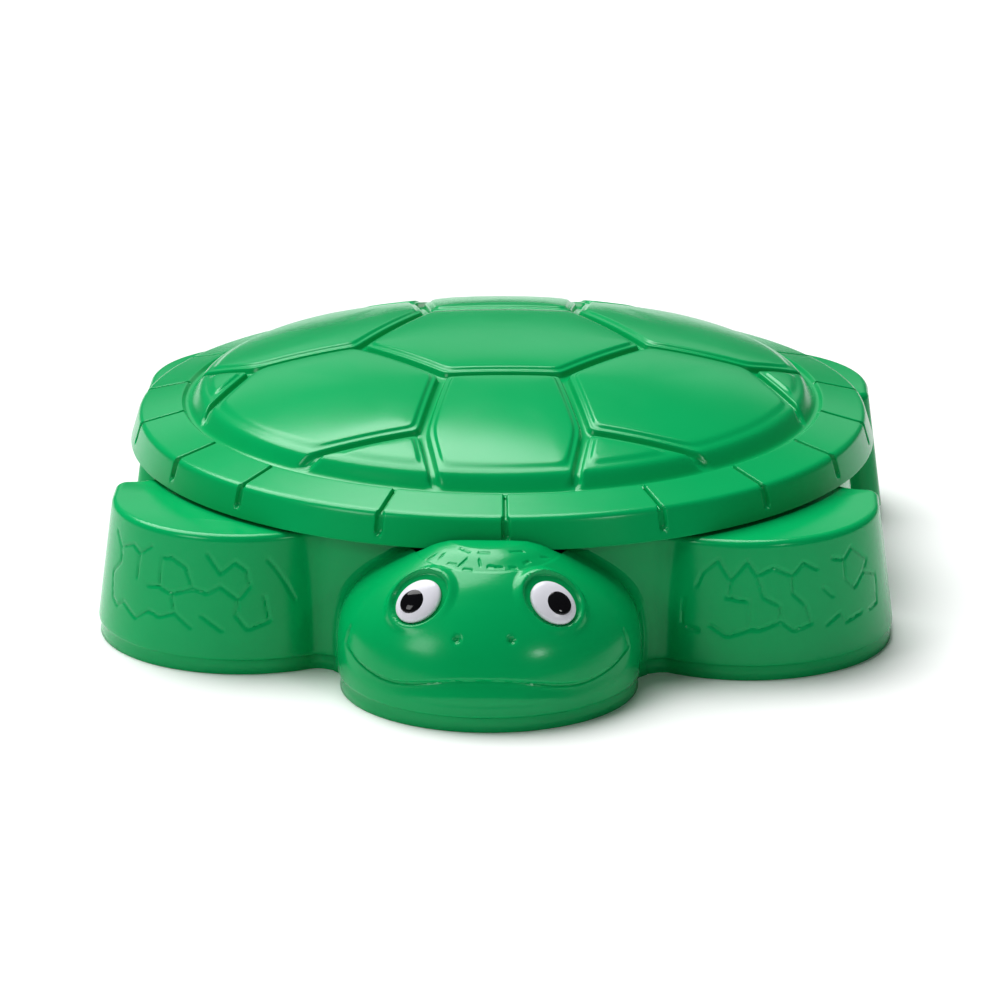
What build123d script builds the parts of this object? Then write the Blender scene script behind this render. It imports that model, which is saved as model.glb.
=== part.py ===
"""Turtle-shaped sandbox with a lift-off cover.

Millimetres, +Z up.  The origin is on the ground under the middle of the sand pan, and the head
points along -Y.  The base is one thin moulding: a round sand pan inside a hollow skirt with four
feet, a head and a short tail.  The cover is a second thin moulding shaped like a shell.  Each eye
is a white oval with a black pupil, held from behind by a push-on washer.
"""
import os
from math import acos, atan2, cos, degrees, radians, sin, tan

from build123d import *

# Overall size
HEIGHT = 303
HALF_WIDTH = 492
TAIL_REACH = 471

# Mouldings
WALL = 3.5
DRAFT = 7.5
STEP_HEIGHT = 18
STEP_INSET = 4.5

# Base: feet and tub
SEAT_Z = 171
TUB_RADIUS = 457
FOOT_X = 308
FOOT_Y = 250
FOOT_RADIUS = HALF_WIDTH - FOOT_X
FOOT_BACK_Y = 179
FOOT_CORNER = 26
CREASE_RADIUS = 20
SEAT_EDGE = 9

# Base: hollow rim and sand pan
RIM_RADIUS = 446
RIM_NECK_RADIUS = 437
RIM_NECK_Z = 182
RIM_ROOT_Z = 151
RIM_SHOULDER_Z = 196
RIM_TOP_Z = 208
RIM_EDGE = 7
PAN_TOP_RADIUS = 408
PAN_FLOOR_RADIUS = 396
PAN_CORNER = 12

# Cover: shell profile
SKIRT_RADIUS = 472
SKIRT_BOTTOM_Z = 175
BAND_OUTER_RADIUS = 462
BAND_OUTER_Z = 213
BAND_EDGE = 9
BAND_INNER_RADIUS = 407
BAND_INNER_Z = 226
GUTTER_RADIUS = 399
GUTTER_Z = 222
PLATE_RADIUS = 384
PLATE_EDGE_Z = 248
DOME_POWER = 2.3

# Cover: grooves between the plates and slots around the rim
GROOVE_WIDTH = 10
GROOVE_FLOOR_Z = 205
GROOVE_END_RADIUS = 394
GROOVE_DEPTH = 5
SLOT_WIDTH = 8
SLOT_DEPTH = 5
SLOT_START_RADIUS = BAND_INNER_RADIUS - 3
SLOT_BOTTOM_Z = SKIRT_BOTTOM_Z + 15
PATTERN_TURN = 2.5
SLOT_ANGLES = (0, 24, 43, 62, 80, 98, 118, 138, 158, 180, -158, -138, -118, -99, -81, -61, -44, -19)
HEXAGON = ((75, -128), (181, 8), (96, 178))

# Cover: where each groove from a hexagon corner forks (angle, radius) and where its arms meet the gutter
FORKS = ((19.3, 302, 12.2, 39.5), (88.5, 315, 71, 97), (160, 312, 141, 168))

# Head: height, middle along Y, half width and half depth of each oval section
HEAD_SECTIONS = (
    (STEP_HEIGHT, -450, 182, 176),
    (45, -450, 184, 174),
    (70, -450, 183, 170),
    (95, -449, 177, 162),
    (120, -447, 161, 148),
    (142, -446, 136, 130),
    (163, -446, 103, 106),
    (179, -446, 76, 80),
    (189, -446, 54, 58),
)
HEAD_GAP = 4
TAIL_RADIUS = 34
TAIL_TOP_Z = 88
TAIL_LENGTH = 60

# Eyes
EYE_X = 79.5
EYE_Y = -555
EYE_Z = 139
EYE_OUTWARD = 24
EYE_UPWARD = 40
EYE_LEAN = 53
EYE_LONG = 60
EYE_SHORT = 49
EYE_DOME = 8
EYE_RIM = 3
SOCKET_MARGIN = 9
SOCKET_DEPTH = 30
SOCKET_RECESS = 2
EYE_WALL = 4
PUPIL_LONG = 32
PUPIL_SHORT = 28
PUPIL_SHIFT = (-5.4, 1.2)
PUPIL_HEIGHT = 4
PUPIL_SEAT = 3
STEM_RADIUS = 5
STEM_LENGTH = 9
WASHER_RADIUS = 12
WASHER_THICKNESS = 1.2

UPRIGHT = (Align.CENTER, Align.CENTER, Align.MIN)


def turned(profile_points):
    """A solid turned about the Z axis from (radius, height) points."""
    outline = make_face(Polyline(*[(r, 0, z) for r, z in profile_points], close=True))
    return revolve(outline, Axis.Z, 360)


def polar(radius, angle):
    """A point in plan, with the angle measured from the head direction towards +X."""
    return (radius * sin(radians(angle)), -radius * cos(radians(angle)))


# ---------------------------------------------------------------- base
def arc(center, start, end):
    """The shorter arc about a centre from one point to another."""
    middle = center + (start + end - 2 * center).normalized() * (start - center).length
    return ThreePointArc(start, middle, end)


def quarter_outline(side, end, inset, z):
    """A quarter of the base in plan: tub, foot and tub again, moved in by the inset."""
    tub = TUB_RADIUS - inset
    toe = FOOT_RADIUS - inset
    crease = CREASE_RADIUS + inset
    corner = FOOT_CORNER - inset / 2
    right = HALF_WIDTH - inset
    back = FOOT_BACK_Y + inset
    middle = Vector(0, 0, 0)
    foot = Vector(FOOT_X, FOOT_Y, 0)
    reach = foot.length
    swing = acos(((tub + crease) ** 2 + reach**2 - (toe + crease) ** 2) / (2 * (tub + crease) * reach))
    heading = atan2(FOOT_Y, FOOT_X) + swing
    front_crease = Vector(cos(heading), sin(heading), 0) * (tub + crease)
    back_crease = Vector(((tub + crease) ** 2 - (back - crease) ** 2) ** 0.5, back - crease, 0)
    stops = [
        Vector(0, tub, 0),
        front_crease.normalized() * tub,
        foot + (front_crease - foot).normalized() * toe,
        Vector(right, FOOT_Y, 0),
        Vector(right, back + corner, 0),
        Vector(right - corner, back, 0),
        Vector(back_crease.X, back, 0),
        back_crease.normalized() * tub,
        Vector(tub, 0, 0),
    ]
    centers = [
        middle,
        front_crease,
        foot,
        None,
        Vector(right - corner, back + corner, 0),
        None,
        back_crease,
        middle,
    ]

    def place(point):
        return Vector(side * point.X, end * point.Y, z)

    edges = []
    for start, stop, center in zip(stops, stops[1:], centers):
        if center is None:
            edges.append(Line(place(start), place(stop)))
        else:
            edges.append(arc(place(center), place(start), place(stop)))
    return edges


def outline_face(inset, z):
    """The whole base in plan at one height."""
    edges = []
    for side in (1, -1):
        for end in (1, -1):
            edges += quarter_outline(side, end, inset, z)
    return make_face(edges)


def feet_block(inset):
    """The tub and feet as drafted walls with a rounded seat edge, above a smaller foot band."""
    slope = tan(radians(DRAFT))
    top_z = SEAT_Z - inset
    edge_z = top_z - SEAT_EDGE
    edge_inset = inset + (edge_z - STEP_HEIGHT) * slope
    levels = [(STEP_HEIGHT, inset), (edge_z, edge_inset)]
    for turn in (30, 60, 90):
        angle = radians(turn)
        levels.append((edge_z + SEAT_EDGE * sin(angle), edge_inset + SEAT_EDGE * (1 - cos(angle))))
    walls = Part()
    for (z0, inset0), (z1, inset1) in zip(levels, levels[1:]):
        walls += loft([outline_face(inset0, z0), outline_face(inset1, z1)], ruled=True)
    band = inset + STEP_INSET
    ground = outline_face(band - STEP_HEIGHT * slope, 0)
    walls += loft([ground, outline_face(band, STEP_HEIGHT)], ruled=True)
    return walls


def head_block(inset):
    """The head as one smooth loft, moved in by the wall for its inside."""
    rise = HEAD_SECTIONS[-1][0] - STEP_HEIGHT
    ovals = [
        Pos(0, middle, z - inset * (z - STEP_HEIGHT) / rise) * Ellipse(half_x - inset, half_y - inset)
        for z, middle, half_x, half_y in HEAD_SECTIONS
    ]
    dome = loft(ovals)
    low = HEAD_SECTIONS[0]
    shrink = inset + STEP_INSET
    band = extrude(Pos(0, low[1]) * Ellipse(low[2] - shrink, low[3] - shrink), STEP_HEIGHT)
    return dome + band


def tail_block(inset):
    """A short rounded tail that slopes down to its tip."""
    tip = TAIL_REACH - TAIL_RADIUS
    width = 2 * (TAIL_RADIUS - inset)
    outline = Pos(0, tip) * Circle(TAIL_RADIUS - inset)
    outline += Pos(0, tip - TAIL_LENGTH / 2) * Rectangle(width, TAIL_LENGTH)
    return extrude(outline, TAIL_TOP_Z - inset, taper=DRAFT)


def under_cover(radius, floor_z):
    """The space kept for the cover's skirt above the seat."""
    return Pos(0, 0, floor_z) * Cylinder(radius, HEIGHT, align=UPRIGHT)


def rim_block(inset):
    """The full disc under the rim; the rim itself is what is left around the pan."""
    crown = RIM_TOP_Z - inset
    edge = RIM_RADIUS - inset
    return turned([
        (0, RIM_ROOT_Z),
        (RIM_NECK_RADIUS - inset, RIM_ROOT_Z),
        (RIM_NECK_RADIUS - inset, RIM_NECK_Z),
        (edge, RIM_SHOULDER_Z),
        (edge, crown - RIM_EDGE),
        (edge - RIM_EDGE, crown),
        (0, crown),
    ])


def body_block(inset):
    """Everything inside the base's outer face, or inside its inner face with an inset."""
    low = feet_block(inset) + tail_block(inset)
    head = head_block(inset) - under_cover(SKIRT_RADIUS + HEAD_GAP + inset, SEAT_Z - inset)
    return low + head + rim_block(inset)


def pan_space():
    """The room for the sand, open at the top."""
    return turned([
        (0, WALL),
        (PAN_FLOOR_RADIUS - PAN_CORNER, WALL),
        (PAN_FLOOR_RADIUS, WALL + PAN_CORNER),
        (PAN_TOP_RADIUS, RIM_TOP_Z + 1),
        (0, RIM_TOP_Z + 1),
    ])


def pan_skin():
    """The pan's own wall and floor."""
    outside = turned([
        (0, 0),
        (PAN_FLOOR_RADIUS - PAN_CORNER + WALL / 2, 0),
        (PAN_FLOOR_RADIUS + WALL, PAN_CORNER + WALL / 2),
        (PAN_TOP_RADIUS + WALL, RIM_TOP_Z - WALL / 2),
        (PAN_TOP_RADIUS, RIM_TOP_Z),
        (0, RIM_TOP_Z),
    ])
    return outside - pan_space()


def base_tub(eye_planes):
    """The base moulding with its two eye sockets."""
    outer = body_block(0)
    inner = body_block(WALL)
    for plane in eye_planes:
        socket = plane * Ellipse(EYE_LONG / 2 + SOCKET_MARGIN, EYE_SHORT / 2 + SOCKET_MARGIN)
        outer += extrude(socket, -SOCKET_DEPTH)
    shell = outer - inner - pan_space() + pan_skin()
    for plane in eye_planes:
        recess = plane * Pos(0, 0, -SOCKET_RECESS) * Ellipse(EYE_LONG / 2, EYE_SHORT / 2)
        shell -= extrude(recess, SOCKET_DEPTH)
        shell -= plane * Cylinder(STEM_RADIUS, 4 * SOCKET_DEPTH)
        spotface = plane * Pos(0, 0, -SOCKET_RECESS - EYE_WALL) * Circle(WASHER_RADIUS + 4)
        shell -= extrude(spotface, -2 * SOCKET_DEPTH)
    return shell


# ---------------------------------------------------------------- cover
def cover_profile(depth):
    """The cover's outer profile moved in by a depth, as (radius, height) points."""
    points = [(r, z - depth) for r, z in dome_points()]
    points += [
        (GUTTER_RADIUS, GUTTER_Z - depth),
        (BAND_INNER_RADIUS, BAND_INNER_Z - depth),
        (BAND_OUTER_RADIUS - BAND_EDGE, BAND_OUTER_Z + 1 - depth),
        (BAND_OUTER_RADIUS - depth, BAND_OUTER_Z - BAND_EDGE),
        (SKIRT_RADIUS - depth, SKIRT_BOTTOM_Z - (1 if depth else 0)),
        (0, SKIRT_BOTTOM_Z - (1 if depth else 0)),
    ]
    return points


def dome_points():
    """The plates' crowned surface from the top to their outer edge."""
    count = 6
    radii = [PLATE_RADIUS * k / count for k in range(count + 1)]
    return [(r, HEIGHT - (HEIGHT - PLATE_EDGE_Z) * (r / PLATE_RADIUS) ** DOME_POWER) for r in radii]


def cover_block(depth):
    """The solid under the cover's surface, moved in by a depth."""
    count = len(dome_points())
    points = [(r, 0, z) for r, z in cover_profile(depth)]
    crown = Spline(*points[:count], tangents=((1, 0, 0), (1, 0, -0.3)))
    sides = Polyline(*points[count - 1:], points[0])
    return revolve(make_face([crown, sides]), Axis.Z, 360)


def groove_lines():
    """The grooves between the plates in plan, as pairs of end points."""
    lines = []
    for hand in (1, -1):
        corners = [(hand * x, y) for x, y in HEXAGON]
        lines += list(zip(corners, corners[1:]))
        for corner, (angle, radius, first_end, last_end) in zip(corners, FORKS):
            fork = polar(radius, hand * angle)
            lines.append((corner, fork))
            lines += [(fork, polar(GUTTER_RADIUS, hand * end)) for end in (first_end, last_end)]
    for x, y in (HEXAGON[0], HEXAGON[-1]):
        lines.append(((x, y), (-x, y)))
    return lines


def groove_walls(width):
    """Upright walls along every groove line."""
    walls = []
    for (x0, y0), (x1, y1) in groove_lines():
        length = ((x1 - x0) ** 2 + (y1 - y0) ** 2) ** 0.5
        angle = degrees(atan2(y1 - y0, x1 - x0))
        place = Pos((x0 + x1) / 2, (y0 + y1) / 2, GROOVE_FLOOR_Z) * Rot(0, 0, angle)
        walls.append(place * Box(length + width, width, HEIGHT, align=UPRIGHT))
    return walls


def slot_walls(width, floor_z):
    """Upright walls across the band and the skirt, one for each slot."""
    walls = []
    length = SKIRT_RADIUS - SLOT_START_RADIUS + 20
    for angle in SLOT_ANGLES:
        x, y = polar(SLOT_START_RADIUS + length / 2, angle)
        place = Pos(x, y, floor_z) * Rot(0, 0, angle - 90)
        walls.append(place * Box(length, width, HEIGHT, align=UPRIGHT))
    return walls


def pressed_block(depth, groove_width, slot_width, slot_floor_z, groove_depth):
    """The solid under the cover's surface at a depth, with its grooves and slots pressed in."""
    floor = cover_block(groove_depth)
    dome_zone = Cylinder(GROOVE_END_RADIUS, 4 * HEIGHT)
    grooves = (Part() + groove_walls(groove_width)) & dome_zone
    slots = Part() + slot_walls(slot_width, slot_floor_z)
    return cover_block(depth) - (grooves - floor) - (slots - floor)


def cover():
    """The cover moulding, with each groove pressed through to its underside."""
    outer = pressed_block(0, GROOVE_WIDTH, SLOT_WIDTH, SLOT_BOTTOM_Z, GROOVE_DEPTH)
    side = 2 * WALL
    groove = GROOVE_WIDTH + side
    slot = SLOT_WIDTH + side
    inner = pressed_block(WALL, groove, slot, SLOT_BOTTOM_Z - WALL, GROOVE_DEPTH + WALL)
    return Rot(0, 0, PATTERN_TURN) * (outer - inner)


# ---------------------------------------------------------------- eyes
def eye_plane(hand):
    """The plane of an eye's seat: x along the oval, z out of the head."""
    outward = radians(EYE_OUTWARD)
    upward = radians(EYE_UPWARD)
    normal = Vector(hand * sin(outward) * cos(upward), -cos(outward) * cos(upward), sin(upward))
    level = Vector(-hand * cos(outward), -sin(outward), 0)
    rise = level.cross(normal) * (1 if hand > 0 else -1)
    if rise.Z < 0:
        rise = rise * -1
    lean = radians(EYE_LEAN)
    along = level * cos(lean) + rise * sin(lean)
    return Plane(origin=(hand * EYE_X, EYE_Y, EYE_Z), x_dir=along, z_dir=normal)


def pupil_spot(plane, hand):
    """The plane of the pupil's seat on the white."""
    shift = Pos(PUPIL_SHIFT[0], -hand * PUPIL_SHIFT[1], PUPIL_SEAT)
    return plane.location * shift


def domed_oval(long, short, rim, dome):
    """An oval button with an upright rim and a domed face."""
    button = extrude(Ellipse(long / 2, short / 2), rim)
    levels = (0, 0.35, 0.65, 0.88)
    ovals = []
    for level in levels:
        half = (1 - level**2) ** 0.5 / 2
        ovals.append(Pos(0, 0, rim + dome * level) * Ellipse(long * half, short * half))
    return button + loft(ovals)


def eye_white(plane, hand):
    """The white: a domed oval in its recess with a stem through the wall."""
    button = Pos(0, 0, -SOCKET_RECESS) * domed_oval(EYE_LONG, EYE_SHORT, EYE_RIM, EYE_DOME)
    stem_top = Pos(0, 0, -SOCKET_RECESS) * Circle(STEM_RADIUS)
    white = plane.location * (button + extrude(stem_top, -STEM_LENGTH))
    pocket = extrude(Ellipse(PUPIL_LONG / 2, PUPIL_SHORT / 2), 30)
    return white - pupil_spot(plane, hand) * pocket


def pupil(plane, hand):
    """The pupil: a small domed button that fills its pocket in the white."""
    return pupil_spot(plane, hand) * domed_oval(PUPIL_LONG, PUPIL_SHORT, PUPIL_HEIGHT, PUPIL_HEIGHT)


def washer(plane):
    """The push-on washer on the stem behind the wall."""
    ring = Circle(WASHER_RADIUS) - Circle(STEM_RADIUS)
    back = Pos(0, 0, -SOCKET_RECESS - EYE_WALL)
    return plane.location * extrude(back * ring, -WASHER_THICKNESS)


def main():
    os.makedirs("parts", exist_ok=True)
    planes = {"left": eye_plane(-1), "right": eye_plane(1)}
    hands = {"left": -1, "right": 1}
    nodes = {"base_tub": base_tub(planes.values()), "cover": cover()}
    for side, plane in planes.items():
        nodes[f"{side}_eye_white"] = eye_white(plane, hands[side])
        nodes[f"{side}_pupil"] = pupil(plane, hands[side])
        nodes[f"{side}_eye_washer"] = washer(plane)
    for name, shape in nodes.items():
        export_step(shape, f"parts/{name}.step")


main()
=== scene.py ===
import random
from math import acos, atan2, cos, degrees, pi, radians, sin, tan

import bpy
import numpy as np
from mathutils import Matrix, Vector


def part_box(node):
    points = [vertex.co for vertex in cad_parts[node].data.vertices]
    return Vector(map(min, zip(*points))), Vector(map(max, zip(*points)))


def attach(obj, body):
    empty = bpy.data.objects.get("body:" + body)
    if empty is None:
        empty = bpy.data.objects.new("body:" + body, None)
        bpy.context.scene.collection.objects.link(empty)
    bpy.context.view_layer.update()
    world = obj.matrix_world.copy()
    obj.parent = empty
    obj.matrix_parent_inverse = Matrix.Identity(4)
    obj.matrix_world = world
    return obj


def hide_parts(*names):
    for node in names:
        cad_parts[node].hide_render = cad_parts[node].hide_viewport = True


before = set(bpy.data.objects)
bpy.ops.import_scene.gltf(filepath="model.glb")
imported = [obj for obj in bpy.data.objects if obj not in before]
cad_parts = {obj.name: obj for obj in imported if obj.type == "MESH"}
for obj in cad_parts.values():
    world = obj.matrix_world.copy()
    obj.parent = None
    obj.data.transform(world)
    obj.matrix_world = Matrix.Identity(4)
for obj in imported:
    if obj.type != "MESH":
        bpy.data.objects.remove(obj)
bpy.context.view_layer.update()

# Lengths are in millimetres until a mesh is made.
MM = 0.001

# ---------------------------------------------------------------- sizes from the frame
_, BASE_HIGH = [np.array(corner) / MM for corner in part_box("base_tub")]
COVER_LOW, COVER_HIGH = [np.array(corner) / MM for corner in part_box("cover")]
HALF_WIDTH = BASE_HIGH[0]
TAIL_Y = BASE_HIGH[1]
RIM_TOP = BASE_HIGH[2]
SKIRT_RADIUS = COVER_HIGH[0]
SKIRT_BOTTOM = COVER_LOW[2]
APEX = COVER_HIGH[2]

# Shared with the frame's design
WALL = 3.5
DRAFT = tan(radians(7.5))
STEP_HEIGHT = 18
STEP_INSET = 4.5
SEAT_Z = 171
SEAT_EDGE = 9
TUB_RADIUS = 457
NECK_RADIUS = 437
NECK_TOP_Z = 182
RIM_RADIUS = 446
RIM_SHOULDER_Z = 196
PAN_TOP_RADIUS = 408
PAN_FLOOR_RADIUS = 396
FOOT = np.array([308.0, 250.0])
TOE_RADIUS = HALF_WIDTH - FOOT[0]
HEEL_Y = 179
HEEL_CORNER = 26
CREASE = 20
PLATE_RADIUS = 384
PLATE_EDGE_Z = 248
DOME_POWER = 2.3
GUTTER_RADIUS = 399
GUTTER_Z = 222
BAND_INNER = (407, 226)
COVER_TURN = radians(2.5)

# Outer corner of the cover's band, just inside the frame's
BAND_OUTER = (461, 212.8)

# Height and inset of the rows round the small step at the foot of the wall and of the head
BOTTOM_ROUND = 0.5
STEP_ROWS = (
    (0.0, STEP_INSET - STEP_HEIGHT * DRAFT + BOTTOM_ROUND),
    (0.6, STEP_INSET - STEP_HEIGHT * DRAFT),
    (9, STEP_INSET - 9 * DRAFT),
    (STEP_HEIGHT - 1.4, STEP_INSET - 1.4 * DRAFT),
    (STEP_HEIGHT - 0.4, STEP_INSET - 0.5),
    (STEP_HEIGHT, STEP_INSET - 1.4),
    (STEP_HEIGHT + 0.3, STEP_INSET - 3.0),
    (STEP_HEIGHT + 1.2, 0.6),
)
STEP_CLEAR = 3


# ---------------------------------------------------------------- mesh helpers
def smooth(x, low, high):
    """0 below low, 1 above high, with a smooth step between."""
    t = np.clip((x - low) / (high - low), 0, 1)
    return t * t * (3 - 2 * t)


def soft_min(distances, softness):
    """The smallest of several distances, rounded where two are alike."""
    stack = np.stack(distances)
    low = stack.min(axis=0)
    return low - softness * np.log(np.exp(-(stack - low) / softness).sum(axis=0))


class Skin:
    """Gathers rows of points and the faces between them into one mesh."""

    def __init__(self):
        self.points = []
        self.faces = []
        self.count = 0

    def add(self, points):
        """Adds points and returns their numbers."""
        points = np.asarray(points, float)
        ids = np.arange(self.count, self.count + len(points))
        self.points.append(points)
        self.count += len(points)
        return ids

    def strip(self, lower, upper, closed=True):
        """Quads between two rows of the same length."""
        span = range(len(lower) if closed else len(lower) - 1)
        for i in span:
            j = (i + 1) % len(lower)
            self.faces.append((int(lower[i]), int(lower[j]), int(upper[j]), int(upper[i])))

    def fan(self, ring, tip):
        """Triangles from a closed row to one point."""
        for i in range(len(ring)):
            self.faces.append((int(ring[i]), int(ring[(i + 1) % len(ring)]), int(tip)))

    def build(self, name, material, sharp=40, turn=0.0):
        """Makes the object in metres, shaded smooth with its hard edges kept."""
        points = np.vstack(self.points) * MM
        if turn:
            c, s = cos(turn), sin(turn)
            x, y, z = points.T
            points = np.column_stack([x * c - y * s, x * s + y * c, z])
        mesh = bpy.data.meshes.new(name)
        mesh.from_pydata(points.tolist(), [], self.faces)
        mesh.validate()
        mesh.polygons.foreach_set("use_smooth", [True] * len(mesh.polygons))
        mesh.set_sharp_from_angle(angle=radians(sharp))
        mesh.materials.append(material)
        thing = bpy.data.objects.new(name, mesh)
        bpy.context.scene.collection.objects.link(thing)
        return thing


def rounded_path(corners, radii, steps=6):
    """A 2-D path through the corners, with an arc of each inner corner's radius."""
    corners = [np.array(c, float) for c in corners]
    path = [corners[0]]
    for before, corner, after, radius in zip(corners, corners[1:], corners[2:], radii):
        to_before = (before - corner) / np.linalg.norm(before - corner)
        to_after = (after - corner) / np.linalg.norm(after - corner)
        half = acos(np.clip(to_before @ to_after, -1, 1)) / 2
        start = corner + to_before * radius / tan(half)
        middle_way = (to_before + to_after) / np.linalg.norm(to_before + to_after)
        center = corner + middle_way * radius / sin(half)
        first = atan2(*(start - center)[::-1])
        end = corner + to_after * radius / tan(half)
        last = atan2(*(end - center)[::-1])
        sweep = (last - first + pi) % (2 * pi) - pi
        for k in range(steps + 1):
            angle = first + sweep * k / steps
            path.append(center + radius * np.array([cos(angle), sin(angle)]))
    path.append(corners[-1])
    return np.array(path)


def refined(path, pitch):
    """The same path with points added so that no step is longer than the pitch."""
    points = [path[0]]
    for a, b in zip(path, path[1:]):
        pieces = max(1, int(np.ceil(np.linalg.norm(b - a) / pitch)))
        points += [a + (b - a) * k / pieces for k in range(1, pieces + 1)]
    return np.array(points)


def around(radius, angle):
    """Plan points at an angle from the head direction (-Y) towards +X."""
    return np.stack([radius * np.sin(angle), -radius * np.cos(angle)], axis=-1)


def at_height(plan, z):
    """Plan points lifted to one height."""
    return np.column_stack([plan, np.full(len(plan), z)])


# ---------------------------------------------------------------- materials
RAMP_LOW = 0.3
RAMP_HIGH = 0.7
STEEL_DARK = (0.42, 0.42, 0.43)
STEEL_LIGHT = (0.6, 0.6, 0.61)


def new_material(name):
    material = bpy.data.materials.new(name)
    material.use_nodes = True
    return material, material.node_tree.nodes, material.node_tree.links


def add_noise(nodes, links, scale, detail, distortion=0.0):
    """A noise texture in object space."""
    where = nodes.new("ShaderNodeTexCoord")
    noise = nodes.new("ShaderNodeTexNoise")
    noise.inputs["Scale"].default_value = scale
    noise.inputs["Detail"].default_value = detail
    noise.inputs["Distortion"].default_value = distortion
    links.new(where.outputs["Object"], noise.inputs["Vector"])
    return noise


def ramp_between(nodes, links, source, color_low, color_high):
    """A colour ramp on a value."""
    ramp = nodes.new("ShaderNodeValToRGB")
    ramp.color_ramp.elements[0].position = RAMP_LOW
    ramp.color_ramp.elements[0].color = (*color_low, 1)
    ramp.color_ramp.elements[1].position = RAMP_HIGH
    ramp.color_ramp.elements[1].color = (*color_high, 1)
    links.new(source, ramp.inputs["Fac"])
    return ramp.outputs["Color"]


def range_between(nodes, links, source, low, high):
    """A value mapped from 0..1 to low..high."""
    mapped = nodes.new("ShaderNodeMapRange")
    mapped.inputs["To Min"].default_value = low
    mapped.inputs["To Max"].default_value = high
    links.new(source, mapped.inputs["Value"])
    return mapped.outputs["Result"]


def moulded_plastic(name, deep, bright, rough, grain_height):
    """Moulded polyethylene: slight colour drift, uneven gloss and a faint orange-peel surface."""
    material, nodes, links = new_material(name)
    shader = nodes["Principled BSDF"]
    drift = add_noise(nodes, links, 3.5, 3.0, 0.4)
    color = ramp_between(nodes, links, drift.outputs["Fac"], deep, bright)
    links.new(color, shader.inputs["Base Color"])
    gloss = add_noise(nodes, links, 14.0, 4.0)
    links.new(range_between(nodes, links, gloss.outputs["Fac"], *rough), shader.inputs["Roughness"])
    peel = add_noise(nodes, links, 260.0, 2.0)
    bump = nodes.new("ShaderNodeBump")
    bump.inputs["Strength"].default_value = 0.35
    bump.inputs["Distance"].default_value = grain_height
    links.new(peel.outputs["Fac"], bump.inputs["Height"])
    links.new(bump.outputs["Normal"], shader.inputs["Normal"])
    shader.inputs["IOR"].default_value = 1.5
    shader.inputs["Specular IOR Level"].default_value = 0.3
    return material


def steel(name):
    """Spring steel of the push-on washers."""
    material, nodes, links = new_material(name)
    shader = nodes["Principled BSDF"]
    shader.inputs["Metallic"].default_value = 1.0
    streak = add_noise(nodes, links, 400.0, 3.0)
    color = ramp_between(nodes, links, streak.outputs["Fac"], STEEL_DARK, STEEL_LIGHT)
    links.new(color, shader.inputs["Base Color"])
    links.new(range_between(nodes, links, streak.outputs["Fac"], 0.25, 0.4), shader.inputs["Roughness"])
    return material


GREEN = moulded_plastic("green_plastic", (0.0, 0.385, 0.118), (0.0, 0.415, 0.132), (0.17, 0.25), 0.0002)
WHITE = moulded_plastic("eye_white", (0.74, 0.74, 0.80), (0.78, 0.78, 0.84), (0.16, 0.22), 0.00005)
BLACK = moulded_plastic("pupil_black", (0.006, 0.006, 0.008), (0.01, 0.01, 0.012), (0.06, 0.1), 0.00002)
STEEL = steel("washer_steel")


# ---------------------------------------------------------------- cover
# Plan of the plates in the cover's own frame, right-hand half.  A groove from each hexagon corner
# ends in a fork (angle, radius), whose two arms meet the gutter at the last two angles.
HEXAGON = ((75, -128), (181, 8), (96, 178))
FORKS = ((19.3, 302, 12.2, 39.5), (88.5, 315, 71, 97), (160, 312, 141, 168))

# Every slot across the band, in degrees from the head direction
SLOT_ANGLES = (0, 24, 43, 62, 80, 98, 118, 138, 158, 180, -158, -138, -118, -99, -81, -61, -44, -19)

# Pressed shapes across a groove: distance from its middle line
CORE_HALF = 3.0
CORE_EDGE = 7.4
CORE_DEPTH = 7.0
LEDGE_START = 11.0
LEDGE_END = 15.6
LEDGE_DEPTH = 2.8
PILLOW_DEPTH = 3.2
PILLOW_REACH = 26
RIM_PLATE_START = 29
SLOPE_END = 20
RIM_WEIGHT = (LEDGE_START + LEDGE_END) / 2 / RIM_PLATE_START
GROOVE_FADE = (4, 11)

# Rows of each plate, by distance from its edge
CELL_LEVELS = (
    1.3, 2.5, 3.3, 4.1, 4.9, 5.7, 6.5, 7.4, 9, 10.8, 12,
    13.2, 14.4, 15.6, 17.5, 21, 28, 40, 58, 84, 112,
)
INNER_LEVELS = (3.3, 7.4, 15.6, 40, 112)
LEVEL_LIMIT = 0.93
GROOVE_SOFTNESS = 2.5
LEVEL_SOFTNESS = 3.0
GROOVE_PITCH = 5.2
GROOVE_CROWDING = 0.035
SEARCH_STEPS = 61
HALVINGS = 30

# Points round the rim, in degrees
RIM_PITCH = 0.8
RIM_MARGIN = 0.45

# Band and skirt
BAND_ROOT_RADIUS = 402.5
BAND_FILLETS = (2.5, 2.2, 9.5, 0.5)
HEM = (0.5, 0.6)
BAND_PITCH = 3.2
INNER_BAND_EVERY = 3
SLOT_FIRST_RADIUS = 406
SLOT_LAST = 17
SLOT_HALF = 2.0
SLOT_WIDENING = 2.7
SLOT_SOFTNESS = 1.3
SKIRT_TURN = (45, 37)
INNER_TURN = (52, 36)
SLOT_DEPTH = 5.6
SLOT_ACROSS = (0, 1.1, 2.0, 2.9, 3.8, 4.7, 5.6, 6.5, 8)


def dome_height(radius):
    """Height of the plain dome, before anything is pressed into it."""
    return APEX - (APEX - PLATE_EDGE_Z) * (radius / PLATE_RADIUS) ** DOME_POWER


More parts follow.
